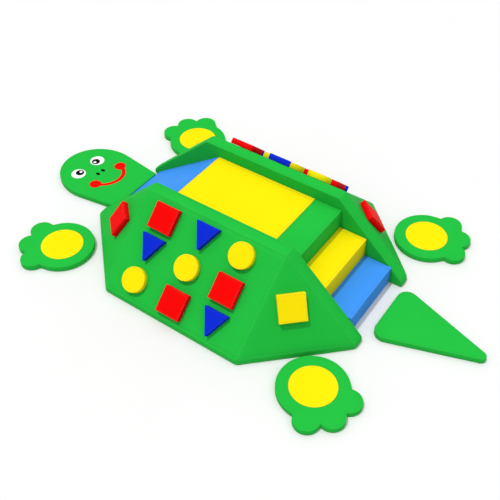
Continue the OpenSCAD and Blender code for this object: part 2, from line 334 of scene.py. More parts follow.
@dataclass(frozen=True)
class Thread:
    """Bonded sewing thread, with the twist of its plies."""

    name: str
    slot: str
    rgb: tuple[float, float, float]

    def material(self) -> bpy.types.Material:
        """Returns the thread's material, made at its first use."""
        found = bpy.data.materials.get(self.name)
        if found:
            return found
        made, s = fresh_material(self.name)
        where = s.add("ShaderNodeTexCoord").outputs["Object"]
        twist = s.add("ShaderNodeTexWave", {"Vector": where, "Scale": 420.0, "Distortion": 1.5},
                      bands_direction="DIAGONAL")
        # the twist's low grooves are drawn darker: painted shade between the plies
        tone = s.mix(twist.outputs["Fac"], colour4(self.rgb, 0.72), colour4(self.rgb))
        bump = s.add("ShaderNodeBump", {"Height": twist.outputs["Fac"], "Strength": 0.5, "Distance": 0.0002})
        shader = s.add("ShaderNodeBsdfPrincipled", {
            "Base Color": tone, "Roughness": 0.45, "Normal": bump.outputs[0],
            "Specular IOR Level": 0.4, "Sheen Weight": 0.15,
        })
        s.add("ShaderNodeOutputMaterial", {"Surface": shader.outputs[0]})
        return made


@dataclass(frozen=True)
class Fastening:
    """Woven zip tape, or the pile of a hook or loop patch.

    Attributes:
        name: the material's name.
        slot: a slot name; not used.
        rgb: the yarn's colour, linear.
        threads: how many threads there are to the metre, over 20.
        fuzz: how much pale fuzz stands out of it, from 0 to 1.
    """

    name: str
    slot: str
    rgb: tuple[float, float, float]
    threads: float
    fuzz: float

    def material(self) -> bpy.types.Material:
        """Returns the fastening's material, made at its first use."""
        found = bpy.data.materials.get(self.name)
        if found:
            return found
        made, s = fresh_material(self.name)
        where = s.add("ShaderNodeTexCoord").outputs["Object"]
        weave = s.add("ShaderNodeGroup", node_tree=EFFECTS.weave())
        made.node_tree.links.new(where, weave.inputs["Where"])
        weave.inputs["Threads"].default_value = self.threads
        fuzz = s.times(s.band(s.noise(where, 900.0, 5.0), 0.5, 0.75), self.fuzz)
        # the yarn is drawn darker where the weave is low: painted shade between the threads
        tone = s.mix(weave.outputs["Height"], colour4(self.rgb, 0.6), colour4(self.rgb))
        tone = s.mix(fuzz, tone, (0.22, 0.22, 0.23, 1.0))
        height = s.plus(weave.outputs["Height"], fuzz)
        bump = s.add("ShaderNodeBump", {"Height": height, "Strength": 0.6, "Distance": 0.0006})
        shader = s.add("ShaderNodeBsdfPrincipled", {
            "Base Color": tone, "Roughness": s.math("SUBTRACT", 0.85, s.times(fuzz, 0.2)),
            "Normal": bump.outputs[0], "Specular IOR Level": 0.3, "Sheen Weight": 0.3,
        })
        s.add("ShaderNodeOutputMaterial", {"Surface": shader.outputs[0]})
        return made


Finish = Vinyl | Thread | Fastening

GREEN = Vinyl("green vinyl", "green_vinyl", (0.015, 0.440, 0.047))
YELLOW = Vinyl("yellow vinyl", "yellow_vinyl", (0.87, 0.69, 0.003))
SKY = Vinyl("sky vinyl", "sky_vinyl", (0.045, 0.265, 0.80))
BLUE = Vinyl("blue vinyl", "blue_vinyl", (0.004, 0.022, 0.56))
RED = Vinyl("red vinyl", "red_vinyl", (0.80, 0.002, 0.002))
WHITE = Vinyl("white vinyl", "white_vinyl", (0.84, 0.84, 0.84), wear=0.2)
BLACK = Vinyl("black vinyl", "black_vinyl", (0.006, 0.006, 0.006), shine=0.3, wear=0.1)
ZIP = Fastening("zip tape", "zip", (0.10, 0.105, 0.115), 60.0, 0.1)
LOOP = Fastening("loop pile", "loop", (0.012, 0.012, 0.012), 45.0, 0.5)
HOOK = Fastening("hook pile", "loop", (0.020, 0.020, 0.022), 90.0, 0.2)


def thread_for(vinyl: Vinyl) -> Thread:
    """Returns the sewing thread used on a vinyl, a little deeper in tone than it."""
    rgb = tuple(0.72 * c for c in vinyl.rgb)
    return Thread(vinyl.name.replace("vinyl", "thread"), vinyl.slot, rgb)


# ---------------------------------------------------------------- pieces


@dataclass(frozen=True)
class Place:
    """A frame on a surface: its origin, and the directions along it, across it and out of it."""

    origin: np.ndarray
    along: np.ndarray
    across: np.ndarray
    out: np.ndarray

    def world(self, local: np.ndarray) -> np.ndarray:
        """Returns local points in the row frame."""
        return self.origin + local @ np.array([self.along, self.across, self.out])

    def turn(self, local: np.ndarray) -> np.ndarray:
        """Returns local directions in the row frame."""
        return local @ np.array([self.along, self.across, self.out])

    def moved(self, x: float, y: float, z: float = 0.0) -> Place:
        """Returns the frame moved in its own directions."""
        return Place(self.world(np.array([x, y, z])), self.along, self.across, self.out)

    def mirrored(self) -> Place:
        """Returns the frame mirrored to the other side of the turtle."""
        flip = np.array([1.0, -1.0, 1.0])
        return Place(self.origin * flip, self.along * flip, self.across * flip, self.out * flip)

    @property
    def left_handed(self) -> bool:
        """Says whether the frame is a mirror image."""
        return float(np.dot(np.cross(self.along, self.across), self.out)) < 0.0


def flat_place(x: float, y: float, turn_deg: float, z: float = 0.0) -> Place:
    """Returns a frame lying on the floor, or at height z over it, turned about the upright."""
    c, s = math.cos(math.radians(turn_deg)), math.sin(math.radians(turn_deg))
    return Place(np.array([x, y, z]), np.array([c, s, 0.0]), np.array([-s, c, 0.0]),
                 np.array([0.0, 0.0, 1.0]))


@dataclass
class Shape:
    """A mesh in the making: its points, its faces and how rubbed each point is."""

    points: list[np.ndarray] = field(default_factory=list)
    faces: list[list[int]] = field(default_factory=list)
    rub: list[np.ndarray] = field(default_factory=list)
    count: int = 0

    def add(self, points: np.ndarray, faces: list[list[int]], rub: np.ndarray | float,
            flip: bool = False) -> None:
        """Adds points and the faces between them.

        Args:
            points: the new points, one row each.
            faces: faces by number within the new points.
            rub: the share of rubbing at each new point, or one for all.
            flip: whether the faces are turned over, as for a mirror image.
        """
        base = self.count
        self.points.append(points)
        self.rub.append(np.broadcast_to(np.asarray(rub, float), (len(points),)))
        for f in faces:
            ids = [base + i for i in f]
            self.faces.append(ids[::-1] if flip else ids)
        self.count += len(points)

    def build(self, name: str, finish: Finish, body: str) -> bpy.types.Object:
        """Makes the object, dresses it and sets it on its body.

        Args:
            name: the piece's name.
            finish: what it is made of.
            body: the frame's body that carries it.

        Returns:
            The new object.
        """
        mesh = bpy.data.meshes.new(name)
        mesh.from_pydata(np.concatenate(self.points).tolist(), [], self.faces)
        mesh.update()
        mesh.shade_smooth()
        mesh.attributes.new(RUB, "FLOAT", "POINT").data.foreach_set(
            "value", np.concatenate(self.rub).astype(np.float32))
        mesh.materials.append(finish.material())
        piece = bpy.data.objects.new(name, mesh)
        bpy.context.scene.collection.objects.link(piece)
        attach(piece, body)
        log.info("%s: %d points, %d faces, on %s", name, len(mesh.vertices), len(mesh.polygons), body)
        return piece


def finish_pad(piece: bpy.types.Object, *nodes: str) -> None:
    """Hides the nodes of the frame that a foam piece stands for."""
    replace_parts(piece, *nodes)


@dataclass
class Stitches:
    """Rows of sewn stitches, gathered into one piece of thread.

    Attributes:
        length: the length of a stitch that shows.
        pitch: the distance from one stitch to the next.
        radius: the thread's radius.
    """

    length: float = 6.5 * MM
    pitch: float = 9.0 * MM
    radius: float = 0.6 * MM
    shape: Shape = field(default_factory=Shape)

    sides = 5
    # the rings of one stitch: the place along it, the ring's size and its lift out of the vinyl
    rings = ((-0.5, 0.25, -0.9), (-0.36, 0.85, 0.1), (0.0, 1.0, 0.55), (0.36, 0.85, 0.1), (0.5, 0.25, -0.9))

    def lay(self, at: np.ndarray, way: np.ndarray, out: np.ndarray) -> None:
        """Lays one stitch at each point.

        Args:
            at: the middles of the stitches.
            way: the direction of each stitch.
            out: the direction out of the vinyl at each stitch.
        """
        if not len(at):
            return
        n = self.sides
        local = np.array([
            (x * self.length, share * self.radius * math.cos(a), self.radius * (lift + share * math.sin(a)))
            for x, share, lift in self.rings
            for a in (2.0 * math.pi * k / n for k in range(n))
        ])
        faces = [[r * n + k, (r + 1) * n + k, (r + 1) * n + (k + 1) % n, r * n + (k + 1) % n]
                 for r in range(len(self.rings) - 1) for k in range(n)]
        faces += [list(range(n)), list(range(len(local) - 1, len(local) - 1 - n, -1))]
        ways = (way, units(np.cross(out, way)), out)
        points = at[:, None, :] + sum(local[None, :, k:k + 1] * ways[k][:, None, :] for k in range(3))
        points = points.reshape(-1, 3)
        many = [[len(local) * n + i for i in f] for n in range(len(at)) for f in faces]
        self.shape.add(points, many, 0.0)

    def along(self, line: np.ndarray, out: np.ndarray) -> None:
        """Lays a row along a closed line of points.

        Args:
            line: the line's points.
            out: the direction out of the vinyl at each of them.
        """
        line, out = np.vstack([line, line[:1]]), np.vstack([out, out[:1]])
        run = run_along(line)
        marks = spread(run[-1], max(2, int(run[-1] / self.pitch)))
        nudge = 0.5 * MM
        way = units(read_off(marks + nudge, run, line) - read_off(marks - nudge, run, line))
        self.lay(read_off(marks, run, line), way, units(read_off(marks, run, out)))

    def build(self, name: str, finish: Finish, body: str) -> None:
        """Makes the thread, if any stitch was laid."""
        if self.shape.count:
            self.shape.build(name, finish, body)


# ---------------------------------------------------------------- blocks with flat panels


@dataclass(frozen=True)
class Panel:
    """A flat panel of a foam block.

    Attributes:
        facing: the direction it faces.
        through: a point on it.
        rank: of two panels that meet, the higher rank holds the seam; a panel of rank 0 has no seams.
        crown: how far its middle stands proud of its edges.
    """

    facing: tuple[float, float, float]
    through: tuple[float, float, float]
    rank: int
    crown: float = 0.0


@dataclass(frozen=True)
class Dent:
    """A rectangle pressed into a panel, in a place on that panel, for a zip."""

    panel: int
    place: Place
    low: tuple[float, float]
    high: tuple[float, float]
    depth: float


@dataclass(frozen=True)
class ZipPocket:
    """The channel pressed into a cover for its zip, with a deeper garage for the slider at one end."""

    length: float

    width = 24.0 * MM
    garage = 46.0 * MM
    channel_depth = 1.1 * MM
    garage_depth = 4.3 * MM

    def dents(self, panel: int, place: Place) -> list[Dent]:
        """Returns the channel and the garage.

        Args:
            panel: the number of the panel they are in.
            place: the frame at the middle of the zip, along it.

        Returns:
            The two dents.
        """
        half, side = self.length / 2, self.width / 2
        return [
            Dent(panel, place, (-half, -side), (half, side), self.channel_depth),
            Dent(panel, place, (half - self.garage, -side), (half, side), self.garage_depth),
        ]


@dataclass
class Block:
    """A foam block with flat panels, soft edges, top-stitched seams and slightly uneven faces.

    Attributes:
        panels: the panels, which together close the block.
        softness: the roundness of the edges.
        end_softness: their roundness at the block's two ends in x, if that differs.
        dents: the pockets for a zip.
        seam: the distance of the seam from its edge.
        cell: the size of the mesh's cells.
        unevenness: how far the faces wander.
    """

    panels: list[Panel]
    softness: float = 3.0 * MM
    end_softness: float = 0.0
    dents: list[Dent] = field(default_factory=list)
    seam: float = 13.0 * MM
    cell: float = 45.0 * MM
    unevenness: float = 0.5 * MM

    groove_depth = 0.9 * MM
    groove_half = 0.9 * MM
    stitch_gap = 3.2 * MM
    edge_cuts = (0.4, 1.0, 1.8, 3.0, 4.6)  # the cuts beside an edge, as shares of its roundness
    dent_wall = 0.7 * MM
    crown_reach = 50.0 * MM
    end_from, end_to = 160.0 * MM, 30.0 * MM  # where the roundness of the ends begins and is full
    waves = 6
    wave_numbers = (14.0, 34.0)
    rounds = 7

    def __post_init__(self) -> None:
        """Works out the panels' planes and the block's corners."""
        self.normals = np.array([unit(p.facing) for p in self.panels])
        self.offsets = np.array([n @ np.array(p.through) for n, p in zip(self.normals, self.panels)])
        cosines = self.normals @ self.normals.T
        self.sines = np.sqrt(np.maximum(1e-6, 1.0 - cosines**2))
        self.corners = self.find_corners()
        self.reach_x = float(np.abs(self.corners[:, 0]).max())

    def find_corners(self) -> np.ndarray:
        """Returns the points where three panels meet."""
        found: list[np.ndarray] = []
        count = len(self.panels)
        for i in range(count):
            for j in range(i + 1, count):
                for k in range(j + 1, count):
                    rows = self.normals[[i, j, k]]
                    if abs(np.linalg.det(rows)) < 1e-6:
                        continue
                    point = np.linalg.solve(rows, self.offsets[[i, j, k]])
                    inside = bool(np.all(self.normals @ point <= self.offsets + 1e-6))
                    if inside and not any(np.linalg.norm(point - q) < 1e-5 for q in found):
                        found.append(point)
        return np.array(found)

    def hull(self) -> tuple[bmesh.types.BMesh, bmesh.types.BMLayerItem]:
        """Returns the block with sharp edges, one face to a panel, and the layer with each face's panel."""
        bm = bmesh.new()
        for c in self.corners:
            bm.verts.new(c)
        bmesh.ops.convex_hull(bm, input=bm.verts)
        bmesh.ops.dissolve_limit(bm, angle_limit=math.radians(0.5), verts=bm.verts, edges=bm.edges)
        layer = bm.faces.layers.int.new("panel")
        for f in bm.faces:
            f.normal_update()
            f[layer] = int(np.argmax(self.normals @ np.array(f.normal)))
        return bm, layer

    def edges(self) -> list[tuple[int, int, np.ndarray, np.ndarray]]:
        """Returns each edge of the block as its two panels and its two ends."""
        bm, layer = self.hull()
        found = []
        for e in bm.edges:
            a, b = (f[layer] for f in e.link_faces)
            ends = [np.array(v.co) for v in e.verts]
            found.append((a, b, ends[0], ends[1]))
        bm.free()
        return found

    @staticmethod
    def cut(bm: bmesh.types.BMesh, faces: list, point: np.ndarray, normal: np.ndarray) -> None:
        """Cuts faces along a plane and keeps both sides."""
        geometry = set(faces)
        for f in faces:
            geometry.update(f.edges)
            geometry.update(f.verts)
        bmesh.ops.bisect_plane(bm, geom=list(geometry), dist=1e-6, plane_co=Vector(point),
                               plane_no=Vector(normal))

    def seams(self) -> list[tuple[int, int, np.ndarray, np.ndarray]]:
        """Returns each edge with a seam: the panel the seam is on, the panel beside it, and its ends."""
        both = [(on, beside, start, end) for a, b, start, end in self.edges()
                for on, beside in ((a, b), (b, a))]
        return [seam for seam in both if self.sewn(*seam[:2])]

    def sewn(self, on: int, beside: int) -> bool:
        """Says whether the seam between two panels runs on the first of them."""
        return self.panels[on].rank > self.panels[beside].rank > 0

    def gridded(self) -> tuple[np.ndarray, list[list[int]]]:
        """Returns the sharp block's points and faces, cut finely along its edges and seams."""
        bm, layer = self.hull()
        for a, b, _, _ in self.edges():
            for on, beside in ((a, b), (b, a)):
                spots = [share * self.softness for share in self.edge_cuts]
                if self.sewn(on, beside):
                    spots += [self.seam - self.groove_half, self.seam, self.seam + self.groove_half]
                for spot in spots:
                    faces = [f for f in bm.faces if f[layer] == on]
                    deep = self.offsets[beside] - spot * self.sines[on, beside]
                    self.cut(bm, faces, self.normals[beside] * deep, self.normals[beside])
        for dent in self.dents:
            for way, ends in ((dent.place.along, (dent.low[0], dent.high[0])),
                              (dent.place.across, (dent.low[1], dent.high[1]))):
                for spot, sign in zip(ends, (-1, 1)):
                    for more in (0.0, self.dent_wall):
                        faces = [f for f in bm.faces if f[layer] == dent.panel]
                        self.cut(bm, faces, dent.place.origin + way * (spot + sign * more), way)
        low, high = self.corners.min(0), self.corners.max(0)
        for axis in range(3):
            count = int((high[axis] - low[axis]) / self.cell)
            normal = np.eye(3)[axis]
            for k in range(1, count):
                self.cut(bm, list(bm.faces), normal * (low[axis] + (high - low)[axis] * k / count), normal)
        bmesh.ops.remove_doubles(bm, verts=bm.verts, dist=1e-5)
        bm.verts.index_update()
        points = np.array([v.co for v in bm.verts])
        faces = [[v.index for v in f.verts] for f in bm.faces]
        bm.free()
        return points, faces

    def soften(self, points: np.ndarray) -> tuple[np.ndarray, np.ndarray, np.ndarray]:
        """Draws points in from the sharp block onto its soft surface.

        Args:
            points: points on or near the sharp block.

        Returns:
            The points, the direction out of the surface at each, and each panel's share in each.
        """
        r = np.full((len(points), 1), self.softness)
        if self.end_softness:
            inward = self.reach_x - np.abs(points[:, 0:1])
            near_end = ease((self.end_from - inward) / (self.end_from - self.end_to))
            r = r + (self.end_softness - self.softness) * near_end
        for _ in range(self.rounds):
            over = points @ self.normals.T - self.offsets
            most = over.max(1, keepdims=True)
            share = np.exp((over - most) / r)
            total = share.sum(1, keepdims=True)
            share /= total
            slope = share @ self.normals
            miss = most + r * np.log(total)
            points = points - miss * slope / (slope**2).sum(1, keepdims=True)
        return points, units(slope), share

    def dress(self, points: np.ndarray) -> tuple[np.ndarray, np.ndarray, np.ndarray]:
        """Softens points and adds the crown, the unevenness, the seams and the dents.

        Args:
            points: points on the sharp block.

        Returns:
            The points, the direction out at each, and how rubbed each is.
        """
        sharp = points
        points, out, share = self.soften(points)
        deep = np.maximum(0.0, self.offsets - points @ self.normals.T)
        main = share.argmax(1)
        rows = np.arange(len(points))
        along_face = deep / self.sines[main]
        along_face[rows, main] = 1.0
        hold = np.prod(1.0 - np.exp(-along_face / self.crown_reach), axis=1)
        crowns = np.array([p.crown for p in self.panels])
        rng = np.random.default_rng(SEED)
        wander = np.zeros(len(points))
        for _ in range(self.waves):
            way = unit(rng.normal(size=3)) * rng.uniform(*self.wave_numbers)
            wander += np.sin(points @ way + rng.uniform(0.0, 6.28))
        lift = share @ crowns * hold + self.unevenness * wander / 3.0 * hold
        for on in range(len(self.panels)):
            for beside in range(len(self.panels)):
                if self.sewn(on, beside):
                    miss = (along_face[:, beside] - self.seam) / (0.7 * self.groove_half)
                    lift -= self.groove_depth * share[:, on] * np.exp(-(miss**2))
        for dent in self.dents:
            local = (sharp - dent.place.origin) @ np.stack([dent.place.along, dent.place.across], 1)
            slack = 0.05 * MM
            over_low = local > np.array(dent.low) - slack
            inside = np.all(over_low & (local < np.array(dent.high) + slack), axis=1) & (main == dent.panel)
            lift[inside] = np.minimum(lift[inside], -dent.depth)
        nearest = along_face.min(1)
        return points + out * lift[:, None], out, np.exp(-nearest / (2.5 * self.softness))

    def shape(self) -> Shape:
        """Returns the block's mesh."""
        points, faces = self.gridded()
        placed, _, rub = self.dress(points)
        made = Shape()
        made.add(placed, faces, rub)
        return made

    def stitch(self, stitches: Stitches) -> None:
        """Lays the row of stitches beside each seam."""
        gap = self.seam + self.stitch_gap
        for on, beside, start, end in self.seams():
            way = unit(end - start)
            inward = np.cross(self.normals[on], way)
            if inward @ self.normals[beside] > 0:
                inward = -inward
            count = max(2, int(np.linalg.norm(end - start) / stitches.pitch))
            row = start + (end - start) * spread(1.0, count)[:, None] + inward * gap
            deep = (self.offsets - row @ self.normals.T) / self.sines[on]
            deep[:, [on, beside]] = 1.0
            row = row[deep.min(1) > gap]
            if len(row):
                at, out, _ = self.dress(row)
                stitches.lay(at, np.broadcast_to(way, at.shape), out)


def mirrored(shape: Shape) -> Shape:
    """Returns a mesh mirrored to the other side of the turtle."""
    made = Shape()
    made.add(np.concatenate(shape.points) * np.array([1.0, -1.0, 1.0]), shape.faces,
             np.concatenate(shape.rub), flip=True)
    return made


# ---------------------------------------------------------------- pads with a drawn outline


@dataclass(frozen=True)
class Outline:
    """A closed outline drawn anticlockwise.

    Attributes:
        points: its points.
        out: the direction out at each of them.
        middle: the point that its rings close on.
    """

    points: np.ndarray
    out: np.ndarray
    middle: np.ndarray

    @property
    def radius(self) -> float:
        """Returns the mean distance of the outline from its middle."""
        return float(np.linalg.norm(self.points - self.middle, axis=1).mean())

    def ring(self, inset: float, share: float) -> np.ndarray:
        """Returns the outline drawn in by inset and then scaled towards its middle."""
        return self.middle + (self.points - inset * self.out - self.middle) * share


def rays(count: int) -> np.ndarray:
    """Returns a direction to each of count points evenly round a circle."""
    angles = 2.0 * math.pi * np.arange(count) / count
    return np.stack([np.cos(angles), np.sin(angles)], 1)


def disc(size: float, spacing: float, y: float = 0.0) -> Outline:
    """Draws a circle of a given size across, at a distance y from the origin."""
    out = rays(max(24, int(math.pi * size / spacing)))
    middle = np.array([0.0, y])
    return Outline(middle + size / 2 * out, out, middle)


def belt(circles: list[tuple[float, float, float]], spacing: float,
         middle: tuple[float, float] | None = None, bow: float = 0.0) -> Outline:
    """Draws the outline of a belt held round some circles.

    Args:
        circles: the x, y and radius of each circle, anticlockwise; a radius may be 0.
        spacing: the distance between two points of the outline.
        middle: the point its rings close on, or None for the mean of the outline.
        bow: how far each straight run is drawn in at its middle.

    Returns:
        The outline.
    """
    points, outs = [], []
    count = len(circles)
    normals = []
    for k in range(count):
        a, b = circles[k], circles[(k + 1) % count]
        run = np.array(b[:2]) - np.array(a[:2])
        length = float(np.linalg.norm(run))
        way = run / length
        lean = (a[2] - b[2]) / length
        normals.append(way * lean + np.array([way[1], -way[0]]) * math.sqrt(1.0 - lean * lean))
    for k in range(count):
        x, y, r = circles[k]
        before, after = normals[k - 1], normals[k]
        start = math.atan2(before[1], before[0])
        sweep = (math.atan2(after[1], after[0]) - start) % (2.0 * math.pi)
        steps = max(5, int(r * sweep / spacing)) if r > 0 else 0
        for i in range(steps + 1):
            angle = start + sweep * (i / steps if steps else 0.5)
            out = np.array([math.cos(angle), math.sin(angle)])
            points.append(np.array([x, y]) + r * out)
            outs.append(out)
        nx, ny, nr = circles[(k + 1) % count]
        here, there = np.array([x, y]) + r * after, np.array([nx, ny]) + nr * after
        parts = int(np.linalg.norm(there - here) / spacing)
        for i in range(1, parts):
            t = i / parts
            points.append(here + (there - here) * t - after * bow * 4.0 * t * (1.0 - t))
            outs.append(after)
    points = np.array(points)
    centre = points.mean(0) if middle is None else np.array(middle)
    return Outline(points, np.array(outs), centre)


@dataclass
class Pad:
    """A flat foam pad with soft rims, a boxing strip round its side and a seam inside its edge.

    Attributes:
        outline: its outline.
        thick: its thickness.
        rim: the radius of its rims.
        sink: how far the top drops from its middle to its rim.
        seam: the distance of the seam from the edge.
        settle: the distance over which the top drops.
        lift: the height of its underside over its place.
    """

    outline: Outline
    thick: float
    rim: float
    sink: float = 1.2 * MM
    seam: float = 14.0 * MM
    settle: float = 55.0 * MM
    lift: float = 0.0

    groove = 0.8 * MM

    def top(self, distance: float) -> float:
        """Returns the top's height at a distance in from the edge."""
        left = max(0.0, 1.0 - (distance - self.rim) / self.settle)
        dip = self.groove if abs(distance - self.seam) < 0.1 * MM else 0.0
        return self.thick - self.sink * left * left - dip

    def share(self, distance: float) -> float:
        """Returns the scale that brings the ring drawn in by the rim to a distance from the edge."""
        return 1.0 - (distance - self.rim) / (self.outline.radius - self.rim)

    def rings(self) -> list[tuple[float, float, float, float]]:
        """Returns the pad's rings from the middle of the underside to the middle of the top.

        Returns:
            The inset, the scale, the height and the share of rubbing of each ring.
        """
        r, seam = self.rim, self.seam
        turn = [math.radians(a) for a in (0, 18, 36, 54, 72, 90)]
        found = [(r, s, 0.0, 0.0) for s in (0.2, 0.5, 0.8, 0.95)]
        found += [(r * (1 - math.sin(a)), 1.0, r * (1 - math.cos(a)), 0.6 * math.sin(a)) for a in turn]
        wall, line, bulge = self.thick - r, 0.7 * MM, 0.5 * MM
        found += [
            (line, 1.0, r + 1.2 * line, 0.3), (0.0, 1.0, r + 2.4 * line, 0.2),
            (-bulge, 1.0, self.thick / 2, 0.1),
            (0.0, 1.0, wall - 2.4 * line, 0.2), (line, 1.0, wall - 1.2 * line, 0.3),
        ]
        shelf = self.top(r)
        found += [(r * (1 - math.cos(a)), 1.0, wall + (shelf - wall) * math.sin(a), math.cos(a) * 0.4 + 0.6)
                  for a in turn]
        near = [seam + d * MM for d in (-3.0, -0.9, 0.0, 0.9, 4.0)]
        far = [seam + (self.settle - seam) * t for t in (0.3, 0.6, 1.0)]
        found += [(r, self.share(d), self.top(d), 0.3 * math.exp(-(d - r) / 0.01))
                  for d in near + far if d > r + 0.5 * MM]
        last = found[-1][1]
        found += [(self.rim, last * t, self.thick, 0.0) for t in (0.8, 0.6, 0.4, 0.2)]
        return found

    def shape(self, place: Place) -> Shape:
        """Returns the pad's mesh, set in a place."""
        made = Shape()
        add_rings(made, self.outline, self.rings(), place.moved(0.0, 0.0, self.lift))
        return made

    def stitch(self, stitches: Stitches, place: Place) -> None:
        """Lays the row of stitches inside the seam."""
        distance = self.seam + 3.0 * MM
        ring = self.outline.ring(self.rim, self.share(distance))
        local = np.column_stack([ring, np.full(len(ring), self.lift + self.top(distance))])
        out = np.broadcast_to(place.out, local.shape)
        stitches.along(place.world(local), out)

    def make(self, name: str, vinyl: Vinyl, body: str, place: Place, *nodes: str) -> None:
        """Makes the pad's vinyl and its stitching.

        Args:
            name: the start of the pieces' names.
            vinyl: what its cover is made of.
            body: the body that carries it.
            place: where it lies.
            *nodes: the nodes it stands for.
        """
        kind, rows = ("pad", Stitches(*SMALL_STITCH)) if self.lift else ("mat", Stitches())
        finish_pad(self.shape(place).build(f"{name}_{kind}", vinyl, body), *nodes)
        self.stitch(rows, place)
        rows.build(f"{name}_stitching", thread_for(vinyl), body)


def add_rings(shape: Shape, outline: Outline, rings: list[tuple[float, float, float, float]],
              place: Place) -> None:
    """Adds a closed form made of rings, from the middle of its underside to the middle of its top.

    Args:
        shape: the mesh that it is added to.
        outline: the outline that each ring is drawn from.
        rings: the inset, the scale, the height and the share of rubbing of each ring.
        place: where the form lies.
    """
    count = len(outline.points)
    points = [np.append(outline.middle, rings[0][2])[None, :]]
    rub = [np.array([rings[0][3]])]
    for inset, share, height, worn in rings:
        ring = outline.ring(inset, share)
        points.append(np.column_stack([ring, np.full(count, height)]))
        rub.append(np.full(count, worn))
    points.append(np.append(outline.middle, rings[-1][2])[None, :])
    rub.append(np.array([rings[-1][3]]))
    last = 1 + count * len(rings)
    faces = []
    for i in range(count):
        j = (i + 1) % count
        faces.append([0, 1 + j, 1 + i])
        for r in range(len(rings) - 1):
            a, b = 1 + r * count, 1 + (r + 1) * count
            faces.append([a + i, a + j, b + j, b + i])
        top = 1 + (len(rings) - 1) * count
        faces.append([last, top + i, top + j])
    shape.add(place.world(np.concatenate(points)), faces, np.concatenate(rub), flip=place.left_handed)


@dataclass(frozen=True)
class Patch:
    """A thin sewn-on patch of vinyl, slightly domed, on top of a pad."""

    outline: Outline
    proud: float = 0.9 * MM

    def add_to(self, shape: Shape, place: Place) -> None:
        """Adds the patch to a mesh."""
        edge = 0.35 * MM
        rings = [(0.0, 0.5, -edge, 0.0), (0.0, 0.9, -edge, 0.0), (0.0, 1.0, -edge, 0.4),
                 (0.0, 1.0, self.proud - edge, 0.6), (edge, 1.0, self.proud, 0.6)]
        soft = min(3.0 * MM, 0.3 * self.outline.radius)
        rings += [(edge, 1.0 - soft / self.outline.radius, self.proud + 0.3 * MM, 0.2)]
        rings += [(edge, share, self.proud + 0.35 * MM, 0.0) for share in (0.7, 0.4, 0.15)]
        add_rings(shape, self.outline, rings, place)

    def overcast(self, stitches: Stitches, place: Place) -> None:
        """Lays short stitches over the patch's edge, side by side."""
        ring, outs = (np.vstack([rows, rows[:1]]) for rows in (self.outline.points, self.outline.out))
        run = run_along(ring)
        count = int(run[-1] / stitches.pitch)
        marks = spread(run[-1], count)
        local = np.column_stack([read_off(marks, run, ring), np.full(count, self.proud)])
        way = place.turn(np.column_stack([units(read_off(marks, run, outs)), np.zeros(count)]))
        stitches.lay(place.world(local), way, np.broadcast_to(place.out, way.shape))


# ---------------------------------------------------------------- the turtle's parts


